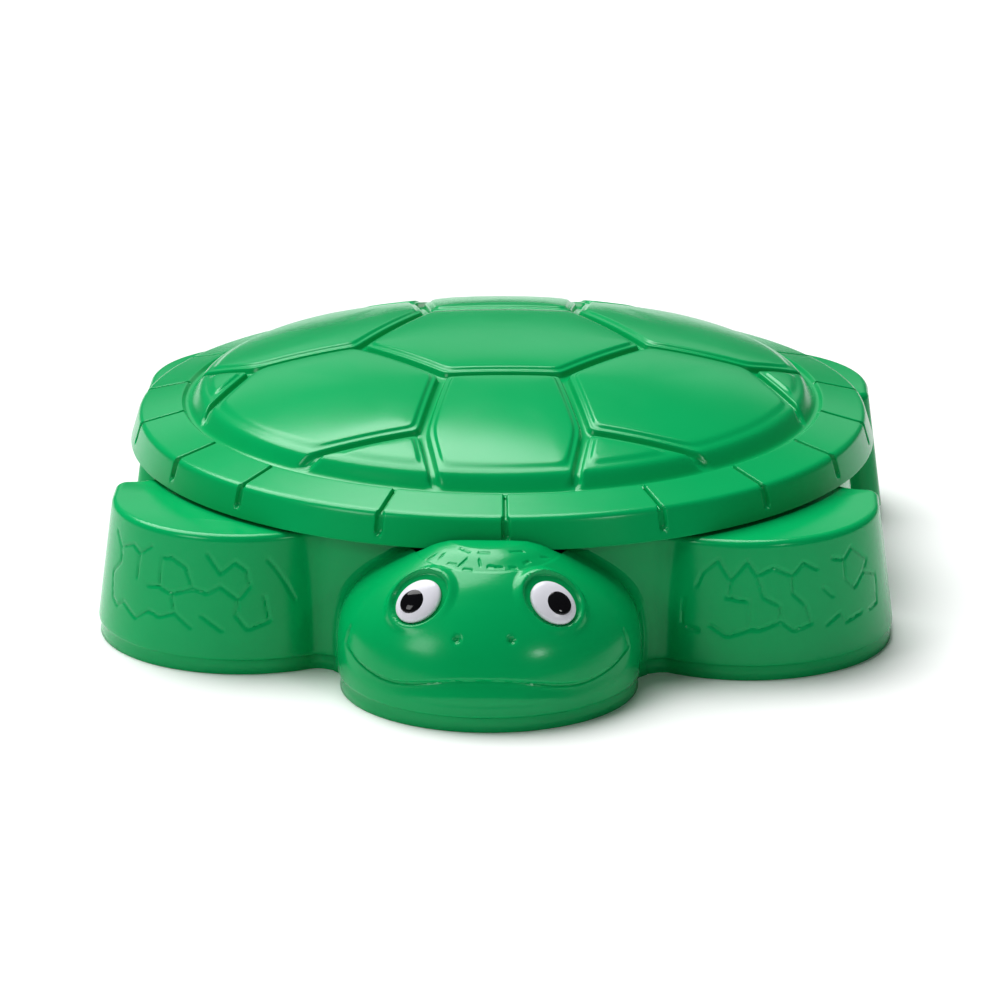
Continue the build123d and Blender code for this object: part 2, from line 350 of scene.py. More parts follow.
def pressed_height(x, y, groove, level):
    """Height of the dome's outer face: crowned plates, stepped edges, grooves and the slope to the gutter."""
    radius = np.hypot(x, y)
    inside = GUTTER_RADIUS - radius
    slope_drop = dome_height(GUTTER_RADIUS) - LEDGE_DEPTH - PILLOW_DEPTH - GUTTER_Z
    drop = LEDGE_DEPTH * (1 - smooth(level, LEDGE_START, LEDGE_END))
    drop += PILLOW_DEPTH * np.exp(-np.maximum(level, 0) / PILLOW_REACH)
    drop += slope_drop * (1 - smooth(inside, 0, SLOPE_END))
    drop += CORE_DEPTH * (1 - smooth(groove, CORE_HALF, CORE_EDGE)) * smooth(inside, *GROOVE_FADE)
    return dome_height(radius) - drop


def rim_angles():
    """Angles of the rim's points: even steps, each slot's cross-section and each groove's end."""
    fine = []
    for slot_angle in SLOT_ANGLES:
        for across in SLOT_ACROSS:
            step = degrees(across / BAND_OUTER[0])
            fine += [slot_angle + step, slot_angle - step]
    for _, _, first_end, last_end in FORKS:
        fine += [first_end, last_end, -first_end, -last_end]
    fine = sorted({round(a % 360, 4) for a in fine})
    even = [
        a for a in np.arange(0, 360, RIM_PITCH)
        if min(abs((a - f + 180) % 360 - 180) for f in fine) > RIM_MARGIN
    ]
    return np.radians(sorted(fine + even))


def cover_vertices():
    """Named corners of the plates in plan."""
    corners = {}
    for hand, side in ((1, "R"), (-1, "L")):
        for k, ((x, y), (angle, radius, first_end, last_end)) in enumerate(zip(HEXAGON, FORKS)):
            corners[f"H{side}{k}"] = np.array([hand * x, y], float)
            corners[f"F{side}{k}"] = around(radius, radians(hand * angle))
            corners[f"A{side}{k}"] = around(GUTTER_RADIUS, radians(hand * first_end))
            corners[f"B{side}{k}"] = around(GUTTER_RADIUS, radians(hand * last_end))
    return corners


# Each plate's corners, anticlockwise seen from above; neighbours named A or B are joined along the gutter
CELLS = [["HR0", "HR1", "HR2", "HL2", "HL1", "HL0"]]
for a, b in ((0, 1), (1, 2)):
    CELLS.append([f"HR{a}", f"FR{a}", f"BR{a}", f"AR{b}", f"FR{b}", f"HR{b}"])
    CELLS.append([f"HL{b}", f"FL{b}", f"AL{b}", f"BL{a}", f"FL{a}", f"HL{a}"])
for k in range(3):
    CELLS.append([f"FR{k}", f"AR{k}", f"BR{k}"])
    CELLS.append([f"BL{k}", f"AL{k}", f"FL{k}"])
CELLS.append(["HL0", "FL0", "AL0", "AR0", "FR0", "HR0"])
CELLS.append(["HR2", "FR2", "BR2", "BL2", "FL2", "HL2"])


def make_cover():
    """The shell: plates between the grooves, then the band and skirt, all with an inner face."""
    skin = Skin()
    corners = cover_vertices()
    angles = rim_angles()
    gutter = skin.add(at_height(around(GUTTER_RADIUS, angles), GUTTER_Z))
    gutter_inner = skin.add(at_height(around(GUTTER_RADIUS, angles), GUTTER_Z - WALL))

    def rim_index(name):
        angle = atan2(corners[name][0], -corners[name][1]) % (2 * pi)
        return int(np.argmin(np.abs(angles - angle)))

    def floor_height(x, y):
        radius = np.hypot(x, y)
        return pressed_height(x, y, np.zeros_like(radius), np.full_like(radius, -1.0))

    named = {}
    for name, spot in corners.items():
        if name[0] in "AB":
            index = rim_index(name)
            named[name] = (gutter[index], gutter_inner[index])
        else:
            z = floor_height(*spot)
            named[name] = (skin.add([[*spot, z]])[0], skin.add([[*spot, z - WALL]])[0])
    edges = {}

    def edge_ids(a, b):
        """The shared points along one groove, from a to b, outside and inside."""
        if (b, a) in edges:
            outer, inner = edges[(b, a)]
            return outer[::-1], inner[::-1]
        if (a, b) not in edges:
            length = np.linalg.norm(corners[b] - corners[a])
            count = max(2, int(length / GROOVE_PITCH))
            t = np.arange(1, count) / count
            t = t - GROOVE_CROWDING * np.sin(2 * pi * t)
            spots = corners[a] + t[:, None] * (corners[b] - corners[a])
            z = floor_height(spots[:, 0], spots[:, 1])
            outer = skin.add(np.column_stack([spots, z]))
            inner = skin.add(np.column_stack([spots, z - WALL]))
            ends = (named[a], named[b])
            outer = np.concatenate([[ends[0][0]], outer, [ends[1][0]]])
            inner = np.concatenate([[ends[0][1]], inner, [ends[1][1]]])
            edges[(a, b)] = (outer, inner)
        return edges[(a, b)]

    def rim_ids(a, b):
        """The gutter's points from a to b, anticlockwise."""
        first, last = rim_index(a), rim_index(b)
        count = (last - first) % len(angles)
        order = [(first + k) % len(angles) for k in range(count + 1)]
        return gutter[order], gutter_inner[order]

    for cell in CELLS:
        outer_loop, inner_loop, lines = [], [], []
        on_rim = False
        for a, b in zip(cell, cell[1:] + cell[:1]):
            if a[0] in "AB" and b[0] in "AB":
                outer, inner = rim_ids(a, b)
                on_rim = True
            else:
                outer, inner = edge_ids(a, b)
                along = (corners[b] - corners[a]) / np.linalg.norm(corners[b] - corners[a])
                lines.append((corners[a], np.array([-along[1], along[0]])))
            outer_loop += list(outer[:-1])
            inner_loop += list(inner[:-1])
        points = np.vstack(skin.points)
        rim_spots = points[outer_loop][:, :2]

        def measures(spots):
            """Distance from the nearest groove, and from the plate's edge."""
            grooves = [(spots - origin) @ normal for origin, normal in lines]
            groove = soft_min(grooves, GROOVE_SOFTNESS)
            inside = (GUTTER_RADIUS - np.hypot(spots[..., 0], spots[..., 1])) * RIM_WEIGHT
            level = soft_min(grooves + [inside] if on_rim else grooves, LEVEL_SOFTNESS)
            return groove, level

        low, high = rim_spots.min(axis=0), rim_spots.max(axis=0)
        across, up = [np.linspace(low[axis], high[axis], SEARCH_STEPS) for axis in (0, 1)]
        grid = np.stack(np.meshgrid(across, up), axis=-1).reshape(-1, 2)
        depths = measures(grid)[1]
        middle, deepest = grid[depths.argmax()], depths.max()

        def ring(level):
            """Where the rays from the rim to the middle reach a level."""
            near = np.zeros(len(rim_spots))
            far = np.ones(len(rim_spots))
            for _ in range(HALVINGS):
                t = (near + far) / 2
                reached = measures(rim_spots + t[:, None] * (middle - rim_spots))[1] > level
                far = np.where(reached, t, far)
                near = np.where(reached, near, t)
            return rim_spots + far[:, None] * (middle - rim_spots)

        for loop, levels, drop in ((outer_loop, CELL_LEVELS, 0), (inner_loop, INNER_LEVELS, WALL)):
            rows = [np.array(loop)]
            for level in levels:
                if level < LEVEL_LIMIT * deepest:
                    spots = ring(level)
                    z = pressed_height(spots[:, 0], spots[:, 1], *measures(spots))
                    rows.append(skin.add(np.column_stack([spots, z - drop])))
            z = pressed_height(middle[0], middle[1], *measures(middle))
            tip = skin.add([[*middle, float(z) - drop]])[0]
            rows = rows if drop == 0 else [row[::-1] for row in rows]
            for lower, upper in zip(rows, rows[1:]):
                skin.strip(lower, upper)
            skin.fan(rows[-1], tip)

    add_band(skin, angles, gutter, gutter_inner)
    cover = skin.build("cover_shell", GREEN, sharp=50, turn=COVER_TURN)
    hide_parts("cover")
    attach(cover, "cover")


def add_band(skin, angles, gutter, gutter_inner):
    """Band and skirt: an outer face with the slots, and an inner face a wall thickness away."""
    profile = rounded_path(
        [
            (GUTTER_RADIUS, GUTTER_Z), (BAND_ROOT_RADIUS, GUTTER_Z), BAND_INNER, BAND_OUTER,
            (SKIRT_RADIUS, SKIRT_BOTTOM + HEM[1]), (SKIRT_RADIUS - HEM[0], SKIRT_BOTTOM),
        ],
        BAND_FILLETS, 5)
    profile = refined(profile, BAND_PITCH)
    steps = np.linalg.norm(np.diff(profile, axis=0), axis=1)
    along = np.concatenate([[0], np.cumsum(steps)])
    slot_start = along[np.argmin(np.abs(profile[:, 0] - SLOT_FIRST_RADIUS))]
    slot_end = along[-1] - SLOT_LAST
    on_skirt = smooth(along, along[-1] - SKIRT_TURN[0], along[-1] - SKIRT_TURN[1])
    tangent = np.gradient(profile, axis=0)
    tangent /= np.linalg.norm(tangent, axis=1)[:, None]
    inward = np.column_stack([tangent[:, 1], -tangent[:, 0]])
    slot_angles = np.radians(SLOT_ANGLES)
    outer_rows, inner_rows = [gutter], [gutter_inner]
    keep_inner = set(range(0, len(profile), INNER_BAND_EVERY)) | {len(profile) - 1}
    for k in range(1, len(profile)):
        radius = profile[k][0]
        turns = (angles[:, None] - slot_angles[None, :] + pi) % (2 * pi) - pi
        away = np.abs(turns).min(axis=1) * radius
        past = max(slot_start - along[k], along[k] - slot_end, 0)
        half = SLOT_HALF + SLOT_WIDENING * on_skirt[k]
        distance = np.hypot(away, past)
        press = SLOT_DEPTH * (1 - smooth(distance, half - SLOT_SOFTNESS, half + SLOT_SOFTNESS))
        spots = profile[k] + inward[k] * press[:, None]
        outer_rows.append(skin.add(np.column_stack([around(spots[:, 0], angles), spots[:, 1]])))
        if k in keep_inner:
            turn = smooth(along[k], along[-1] - INNER_TURN[0], along[-1] - INNER_TURN[1]) * pi / 2
            shift = WALL * np.array([-sin(turn), -cos(turn)])
            inside = spots + shift
            inside[:, 1] = np.maximum(inside[:, 1], SKIRT_BOTTOM)
            inner_rows.append(skin.add(np.column_stack([around(inside[:, 0], angles), inside[:, 1]])))
    for lower, upper in zip(outer_rows, outer_rows[1:]):
        skin.strip(upper, lower)
    for lower, upper in zip(inner_rows, inner_rows[1:]):
        skin.strip(lower, upper)
    skin.strip(inner_rows[-1], outer_rows[-1])


# ---------------------------------------------------------------- base
def arc_points(center, start, end, count):
    """Points on the shorter arc from start to end, without the end."""
    center, start, end = np.array(center), np.array(start), np.array(end)
    first = atan2(*(start - center)[::-1])
    last = atan2(*(end - center)[::-1])
    sweep = (last - first + pi) % (2 * pi) - pi
    radius = np.linalg.norm(start - center)
    angles = first + sweep * np.arange(count) / count
    return center + radius * np.column_stack([np.cos(angles), np.sin(angles)])


def line_points(start, end, count):
    """Points on the line from start to end, without the end."""
    t = np.arange(count)[:, None] / count
    return np.array(start) + t * (np.array(end) - np.array(start))


def quarter_points(inset, tub, counts):
    """A quarter of the base in plan, from the Y axis round the foot to the X axis."""
    toe = TOE_RADIUS - inset
    crease = CREASE + inset
    right = HALF_WIDTH - inset
    heel = HEEL_Y + inset
    reach = np.linalg.norm(FOOT)
    swing = acos(((tub + crease) ** 2 + reach**2 - (toe + crease) ** 2) / (2 * (tub + crease) * reach))
    heading = atan2(FOOT[1], FOOT[0]) + swing
    front = (tub + crease) * np.array([cos(heading), sin(heading)])
    rear = np.array([((tub + crease) ** 2 - (heel - crease) ** 2) ** 0.5, heel - crease])
    corner = min(HEEL_CORNER - inset / 2, right - rear[0] - 1)
    origin = np.zeros(2)
    front_on_tub = front * tub / (tub + crease)
    front_on_toe = FOOT + (front - FOOT) * toe / (toe + crease)
    rear_on_tub = rear * tub / (tub + crease)
    stops = [
        (origin, (0, tub)), (front, front_on_tub), (FOOT, front_on_toe), (None, (right, FOOT[1])),
        ((right - corner, heel + corner), (right, heel + corner)), (None, (right - corner, heel)),
        (rear, (rear[0], heel)), (origin, rear_on_tub),
    ]
    ends = [stop for _, stop in stops[1:]] + [(tub, 0)]
    pieces = []
    for (center, start), end, count in zip(stops, ends, counts):
        if center is None:
            pieces.append(line_points(start, end, count))
        else:
            pieces.append(arc_points(center, start, end, count))
    pieces.append(np.array([[tub, 0]]))
    return np.vstack(pieces)


# Points in each stretch of a quarter; most are on the toes, where lines are engraved
FRONT_COUNTS = (14, 7, 150, 10, 8, 5, 7, 12)
REAR_COUNTS = (14, 7, 110, 10, 8, 5, 7, 12)


def base_outline(inset, tub):
    """The whole base in plan, anticlockwise seen from above, starting at the tail."""
    front = quarter_points(inset, tub, FRONT_COUNTS)
    rear = quarter_points(inset, tub, REAR_COUNTS)
    rear_left = rear * (-1, 1)
    front_left = front[::-1] * (-1, -1)
    front_right = front * (1, -1)
    rear_right = rear[::-1]
    return np.vstack([rear_left[:-1], front_left[:-1], front_right[:-1], rear_right[:-1]])


# Broken honeycomb on each foot, in wall coordinates: distance round the toe from its front, and height
COMB_ROWS = range(5)
COMB_COLUMNS = range(-6, 4)
COMB_FIRST_Z = 46
COMB_SIDE = 24
COMB_SHIFT = 6.5
COMB_KEPT = 0.72
COMB_SPAN = (-225, 85)
COMB_HEIGHTS = (44, 154)
LINE_HALF = 1.5
LINE_FLAT = 0.2
LINE_SLOPE = 0.9
LINE_DEPTH = 1.6


def within(value, limits):
    return limits[0] < value < limits[1]


def honeycomb_segments(seed):
    """Sides of an uneven honeycomb, some of them left out."""
    draw = random.Random(seed)
    corners = {}
    sides = {}
    pitch = COMB_SIDE * 3**0.5
    for row in COMB_ROWS:
        for column in COMB_COLUMNS:
            middle = (column * pitch + row % 2 * pitch / 2, COMB_FIRST_Z + row * 1.5 * COMB_SIDE)
            spots = []
            for k in range(6):
                angle = radians(30 + 60 * k)
                spot = (round(middle[0] + COMB_SIDE * cos(angle)), round(middle[1] + COMB_SIDE * sin(angle)))
                if spot not in corners:
                    corners[spot] = tuple(c + draw.uniform(-COMB_SHIFT, COMB_SHIFT) for c in spot)
                spots.append(spot)
            for pair in zip(spots, spots[1:] + spots[:1]):
                sides.setdefault(tuple(sorted(pair)), draw.random() < COMB_KEPT)
    segments = []
    for (a, b), kept in sides.items():
        ends = [corners[a], corners[b]]
        inside = all(within(s, COMB_SPAN) and within(z, COMB_HEIGHTS) for s, z in ends)
        if kept and inside:
            segments.append(ends)
    return segments


def engraved(s, z, segments, half, depth):
    """Depth of engraved lines at wall coordinates."""
    nearest = np.full(np.shape(s), 1e9)
    for (s0, z0), (s1, z1) in segments:
        ds, dz = s1 - s0, z1 - z0
        t = np.clip(((s - s0) * ds + (z - z0) * dz) / (ds * ds + dz * dz), 0, 1)
        nearest = np.minimum(nearest, np.hypot(s - s0 - t * ds, z - z0 - t * dz))
    return depth * (1 - smooth(nearest, LINE_FLAT, half + LINE_SLOPE))


WALL_PITCH = 2.3
EDGE_STEPS = 6


def wall_rows():
    """Height, foot inset and tub radius of each row up the outer wall."""
    rows = [*STEP_ROWS, (STEP_HEIGHT + STEP_CLEAR, DRAFT * STEP_CLEAR)]
    edge_z = SEAT_Z - SEAT_EDGE
    for z in list(np.arange(STEP_HEIGHT + 8, edge_z - 4, WALL_PITCH)) + [edge_z]:
        rows.append((z, (z - STEP_HEIGHT) * DRAFT))
    edge_inset = (edge_z - STEP_HEIGHT) * DRAFT
    for k in range(1, EDGE_STEPS + 1):
        angle = k / EDGE_STEPS * pi / 2
        rows.append((edge_z + SEAT_EDGE * sin(angle), edge_inset + SEAT_EDGE * (1 - cos(angle))))
    result = []
    for z, inset in rows:
        tub = TUB_RADIUS - inset
        if z > edge_z:
            narrowing = NECK_RADIUS - TUB_RADIUS + edge_inset
            tub = TUB_RADIUS - edge_inset + narrowing * (z - edge_z) / SEAT_EDGE
        result.append((z, inset, tub))
    return result


# Parts of the base that are turned about the middle
SEAT_ARC_STEPS = 40
RIM_PITCHES = (24, 60)
MIDDLE_RADIUS = 3
HOLLOW_NECK_Z = 184
HOLLOW_SHOULDER_Z = 197
INNER_COLUMN_EVERY = 4
INNER_ROW_EVERY = 8


def make_base():
    """Wall with its feet, seats, rim and pan, and the same walls again as an inner face."""
    skin = Skin()
    segments = {(x, y): honeycomb_segments(7 + x + 2 * y) for x in (0, 1) for y in (0, 1)}
    rows = []
    all_rows = wall_rows()
    for z, inset, tub in all_rows:
        plan = base_outline(inset, tub)
        across = np.stack([np.abs(plan[:, 0]), np.abs(plan[:, 1])], axis=1)
        from_foot = across - FOOT
        toe = TOE_RADIUS - inset
        angle = np.arctan2(from_foot[:, 0], from_foot[:, 1])
        on_toe = (np.abs(np.hypot(*from_foot.T) - toe) < 0.6) & (across[:, 1] > FOOT[1] - 1)
        round_toe = -angle * TOE_RADIUS
        depth = np.zeros(len(plan))
        for (x, y), pattern in segments.items():
            here = on_toe & ((plan[:, 0] > 0) == x) & ((plan[:, 1] > 0) == y)
            depth[here] = engraved(round_toe[here], z, pattern, LINE_HALF, LINE_DEPTH)
        push = from_foot / np.maximum(np.hypot(*from_foot.T), 1)[:, None] * np.sign(plan) * depth[:, None]
        plan = plan - push
        rows.append(skin.add(at_height(plan, z)))
    for lower, upper in zip(rows, rows[1:]):
        skin.strip(lower, upper)

    # The seats and the neck share the ring where the tub's wall meets the seat
    top_plan = base_outline(all_rows[-1][1], NECK_RADIUS)
    on_neck = np.abs(np.hypot(*top_plan.T) - NECK_RADIUS) < 0.02
    ring_angles = np.arctan2(top_plan[:, 0], -top_plan[:, 1])
    count = len(top_plan)
    neck_ids, neck_angles = [], []
    starts = [i for i in range(count) if on_neck[i] and not on_neck[(i + 1) % count]]
    i = starts[0]
    for _ in range(len(starts)):
        j = (i + 1) % count
        lobe = []
        while not on_neck[j]:
            lobe.append(int(rows[-1][j]))
            j = (j + 1) % count
        a0, a1 = ring_angles[i], ring_angles[j]
        span = (a1 - a0) % (2 * pi)
        between = a0 + span * np.arange(1, SEAT_ARC_STEPS) / SEAT_ARC_STEPS
        arc = skin.add(at_height(around(NECK_RADIUS, between), SEAT_Z))
        skin.faces.append([int(rows[-1][i]), *lobe, int(rows[-1][j]), *[int(k) for k in arc[::-1]]])
        neck_ids += [int(rows[-1][i]), *[int(k) for k in arc]]
        neck_angles += [a0, *between]
        i = j
        while on_neck[(i + 1) % count]:
            neck_ids.append(int(rows[-1][i]))
            neck_angles.append(ring_angles[i])
            i = (i + 1) % count
    ring = np.array(neck_ids)
    ring_angles = np.array(neck_angles)

    # Rim, pan wall and floor turned about the middle
    profile = rounded_path(
        [
            (NECK_RADIUS, SEAT_Z), (NECK_RADIUS, NECK_TOP_Z), (RIM_RADIUS, RIM_SHOULDER_Z),
            (RIM_RADIUS, RIM_TOP), (PAN_TOP_RADIUS, RIM_TOP), (PAN_FLOOR_RADIUS, WALL), (0, WALL),
        ],
        [6, 6, 8, 7, 14], 6)
    profile = refined(profile, RIM_PITCHES[0])[1:-1]
    previous = ring
    for radius, z in profile:
        if radius < MIDDLE_RADIUS:
            break
        row = skin.add(at_height(around(radius, ring_angles), z))
        skin.strip(previous, row)
        previous = row
    skin.fan(previous, skin.add([[0, 0, WALL]])[0])

    # Inner face: the same walls moved in, the hollow rim and the pan's underside
    keep = list(range(0, len(rows[0]), INNER_COLUMN_EVERY))
    inner = []
    for k, (z, inset, tub) in enumerate(all_rows):
        if k <= len(STEP_ROWS) or k % INNER_ROW_EVERY == 0 or k > len(all_rows) - 4:
            plan = base_outline(inset + WALL, tub - WALL)[keep]
            inner.append(skin.add(at_height(plan, max(0, min(z, SEAT_Z - WALL)))))
    outer_low = rows[0]
    for i, k in enumerate(keep):
        steps = (keep[(i + 1) % len(keep)] - k) % len(outer_low)
        chain = [int(outer_low[(k + m) % len(outer_low)]) for m in range(steps + 1)]
        skin.faces.append([int(inner[0][i]), int(inner[0][(i + 1) % len(keep)]), *chain[::-1]])
    for lower, upper in zip(inner, inner[1:]):
        skin.strip(upper, lower)
    under_angles = np.arctan2(*(np.vstack(skin.points)[inner[-1]][:, :2] * (1, -1)).T)
    rising_angles = np.maximum.accumulate(np.unwrap(under_angles))
    hollow = rounded_path(
        [
            (NECK_RADIUS - WALL, SEAT_Z - WALL), (NECK_RADIUS - WALL, HOLLOW_NECK_Z),
            (RIM_RADIUS - WALL, HOLLOW_SHOULDER_Z), (RIM_RADIUS - WALL, RIM_TOP - WALL),
            (PAN_TOP_RADIUS + WALL, RIM_TOP - WALL), (PAN_FLOOR_RADIUS + WALL, 0), (0, 0),
        ],
        [5, 5, 5, 4, 12], 3)
    previous = inner[-1]
    for radius, z in refined(hollow, RIM_PITCHES[1])[:-1]:
        if radius < MIDDLE_RADIUS:
            break
        row = skin.add(at_height(around(radius, rising_angles), z))
        skin.strip(row, previous)
        previous = row
    tip = skin.add([[0, 0, 0]])[0]
    skin.fan(previous[::-1], tip)
    base = skin.build("base_walls", GREEN, sharp=50)
    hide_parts("base_tub")
    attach(base, "base")


# ---------------------------------------------------------------- tail
TAIL_RADIUS = 34
TAIL_TOP = 88
TAIL_EDGE = 12
TAIL_ROOT = 10


def make_tail():
    """The short rounded tail behind the tub."""
    skin = Skin()
    tip = TAIL_Y - TAIL_RADIUS
    root = tip - TAIL_ROOT
    edge_z = TAIL_TOP - TAIL_EDGE
    levels = [(z, z * DRAFT) for z in np.linspace(0, edge_z, 6)]
    for angle in np.linspace(0, pi / 2, 9)[1:]:
        z = TAIL_TOP - TAIL_EDGE * (1 - sin(angle))
        levels.append((z, edge_z * DRAFT + TAIL_EDGE * (1 - cos(angle))))
    turn = np.linspace(0, pi, 49)
    rows = []
    for z, inset in levels:
        radius = TAIL_RADIUS - inset
        nose = np.column_stack([radius * np.cos(turn), tip + radius * np.sin(turn), np.full(len(turn), z)])
        rows.append(skin.add(np.vstack([nose, [[-radius, root, z], [radius, root, z]]])))
    for lower, upper in zip(rows, rows[1:]):
        skin.strip(lower, upper)
    skin.faces.append([int(k) for k in rows[-1]])
    skin.faces.append([int(k) for k in rows[0][::-1]])
    tail = skin.build("tail_shell", GREEN, sharp=50)
    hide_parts("base_tub")
    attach(tail, "base")


# ---------------------------------------------------------------- head
# Height, middle, half width and half depth of the head's oval sections
HEAD_SECTIONS = (
    (18, -450, 182, 176), (45, -450, 184, 174), (70, -450, 183, 170), (95, -449, 177, 162),
    (120, -447, 161, 148), (142, -446, 136, 130), (163, -446, 103, 106), (176, -446, 80, 85),
    (184, -446, 65, 70), (188, -446, 53, 58),
)
HEAD_TOP = 189.6
HEAD_BACK = 475.5
HEAD_FILLET = 14
HEAD_FRONT_COLUMNS = 150
HEAD_END_COLUMNS = 22
HEAD_BACK_COLUMNS = 40

# Heights of the head's rows: from, up to, pitch
HEAD_PITCHES = (
    (STEP_HEIGHT + 4, 44, 2.4), (44, 80, 1.5), (80, 150, 2.1),
    (150, SEAT_Z, 1.4), (SEAT_Z, 184, 1.0), (184, 188.01, 0.5),
)
CAP_STEPS = 12
CAP_NARROWING = 0.47
INNER_HEAD_ROWS = 8
INNER_HEAD_EVERY = 3

EYE_PLACE = (79.5, -555, 139)
EYE_OUTWARD = radians(24)
EYE_UPWARD = radians(40)
EYE_LEAN = radians(53)
EYE_HALF = (30, 24.5)
SOCKET_HALF = (38, 32.5)
SOCKET_LIFT = 4.5
SOCKET_DEPTH = 2.0
BROW_HEIGHT = 2.6

# Nostril's place, and the mouth line's height at each angle from the nose
NOSTRIL = (32.3, -600, 108)
MOUTH = ((0, 10, 20, 28, 38, 50, 60, 68), (65, 63.5, 59, 54.5, 51.5, 56, 63.5, 73))

# Short line at each end of the mouth, in distance round the head and height
CHEEK_RADIUS = 180
CHEEK_LINE = (212, 74, 208, 92)

# Dashes on top of the head: each one's two ends in plan
DASHES = (
    (-32, -497, -21, -508), (-46, -519, -37, -524), (-33, -527, -24, -519), (-9, -522, -7, -530),
    (-10, -510, 3, -511), (28, -505, 42, -499), (2, -532, 19, -532), (-27, -533, -17, -536),
    (28, -530, 35, -528), (44, -519, 50, -512), (64, -497, 71, -492), (-72, -498, -65, -495),
    (-57, -505, -53, -500),
)


def spline(x, knots, values):
    """A smooth curve through the values at the knots."""
    knots = np.array(knots, float)
    values = np.array(values, float)
    slopes = np.gradient(values, knots)
    x = np.clip(x, knots[0], knots[-1])
    k = np.clip(np.searchsorted(knots, x) - 1, 0, len(knots) - 2)
    width = knots[k + 1] - knots[k]
    t = (x - knots[k]) / width
    low, high = values[k], values[k + 1]
    return (low * (1 + 2 * t) * (1 - t) ** 2 + slopes[k] * width * t * (1 - t) ** 2
            + high * t**2 * (3 - 2 * t) + slopes[k + 1] * width * t**2 * (t - 1))


def eye_frame(hand):
    """Origin, long axis, short axis and outward normal of an eye's seat."""
    normal = np.array([
        hand * sin(EYE_OUTWARD) * cos(EYE_UPWARD),
        -cos(EYE_OUTWARD) * cos(EYE_UPWARD),
        sin(EYE_UPWARD),
    ])
    level = np.array([-hand * cos(EYE_OUTWARD), -sin(EYE_OUTWARD), 0])
    rise = np.array([-normal[2] * normal[0], -normal[2] * normal[1], 1 - normal[2] ** 2]) / cos(EYE_UPWARD)
    along = level * cos(EYE_LEAN) + rise * sin(EYE_LEAN)
    return np.array([hand * EYE_PLACE[0], *EYE_PLACE[1:]]), along, np.cross(normal, along), normal


def oval_distance(a, b, half):
    """How far outside an oval a point is, near enough."""
    rho = np.maximum(np.hypot(a / half[0], b / half[1]), 1e-6)
    return (rho - 1) * np.hypot(a, b) / rho


def segment_distance(x, y, ends):
    """Distance of points from a straight line between two ends."""
    x0, y0, x1, y1 = ends
    t = np.clip(((x - x0) * (x1 - x0) + (y - y0) * (y1 - y0)) / ((x1 - x0) ** 2 + (y1 - y0) ** 2), 0, 1)
    return np.hypot(x - x0 - t * (x1 - x0), y - y0 - t * (y1 - y0))


def head_rows(inset):
    """Height, middle, half width and half depth of each row up the head."""
    sections = np.array(HEAD_SECTIONS, float)
    heights = np.concatenate([np.arange(*pitch) for pitch in HEAD_PITCHES])
    low = sections[0]
    rows = []
    for z, shrink in (*STEP_ROWS, (STEP_HEIGHT + STEP_CLEAR, 0)):
        rows.append((z, low[1], low[2] - shrink - inset, low[3] - shrink - inset))
    for z in heights:
        middle, half_x, half_y = (spline(z, sections[:, 0], sections[:, k]) for k in (1, 2, 3))
        rows.append((z, float(middle), float(half_x) - inset, float(half_y) - inset))
    last = rows[-1]
    for k in range(1, CAP_STEPS + 1):
        share = 1 - CAP_NARROWING * k / CAP_STEPS
        z = last[0] + (HEAD_TOP - last[0]) * (1 - ((share - 0.5) / 0.5) ** 2)
        rows.append((z, last[1], last[2] * share, last[3] * share))
    return rows


def section_end(row, cut):
    """The section angle at which a head section meets the cylinder behind it."""
    _, middle, half_x, half_y = row
    low, high = 0.0, pi
    for _ in range(40):
        angle = (low + high) / 2
        outside = np.hypot(half_x * sin(angle), middle - half_y * cos(angle)) > cut
        low, high = (angle, high) if outside else (low, angle)
    return low


def wall_radius(z):
    """Outer radius of the tub's wall between the feet."""
    return TUB_RADIUS - max(z - STEP_HEIGHT, 0) * DRAFT if z < SEAT_Z - SEAT_EDGE else NECK_RADIUS


def head_loop(row, cut, fillet, wall):
    """One closed loop: the front of the section and the cut behind it."""
    z, middle, half_x, half_y = row
    end = section_end(row, cut)
    front = min(section_end(row, HEAD_BACK), end) * 0.93
    q = np.arange(1, HEAD_END_COLUMNS + 1) / HEAD_END_COLUMNS
    side = end - (end - front) * (1 - q) ** 1.8
    angle = np.concatenate([np.linspace(0, front, HEAD_FRONT_COLUMNS + 1), side])
    angle = np.concatenate([-angle[:0:-1], angle])
    x = half_x * np.sin(angle)
    y = middle - half_y * np.cos(angle)
    radius = np.hypot(x, y)
    heading = np.arctan2(x, -y)
    if fillet:
        gap = np.clip(radius - wall, 0, fillet)
        heading = heading + np.sign(heading) * (fillet - np.sqrt(fillet**2 - (fillet - gap) ** 2)) / radius
    back = np.linspace(heading[-1], heading[0], HEAD_BACK_COLUMNS + 1)[1:-1]
    plan = np.vstack([around(radius, heading), around(np.full(len(back), radius[-1]), back)])
    return at_height(plan, z), angle


def head_grid(inset):
    """All loops up the head, with the ledge where the cover's skirt needs room."""
    loops, angles = [], []
    for row in head_rows(inset):
        z = row[0]
        if z <= SEAT_Z:
            wall = wall_radius(z)
            loop, angle = head_loop(row, wall - 1.5 + inset, max(HEAD_FILLET - inset, 0), wall + inset)
            loops.append(loop)
            angles.append(angle)
        if z >= SEAT_Z:
            loop, angle = head_loop(row, HEAD_BACK + inset, 0, 0)
            loops.append(loop)
            angles.append(angle)
    return np.array(loops), np.array(angles)


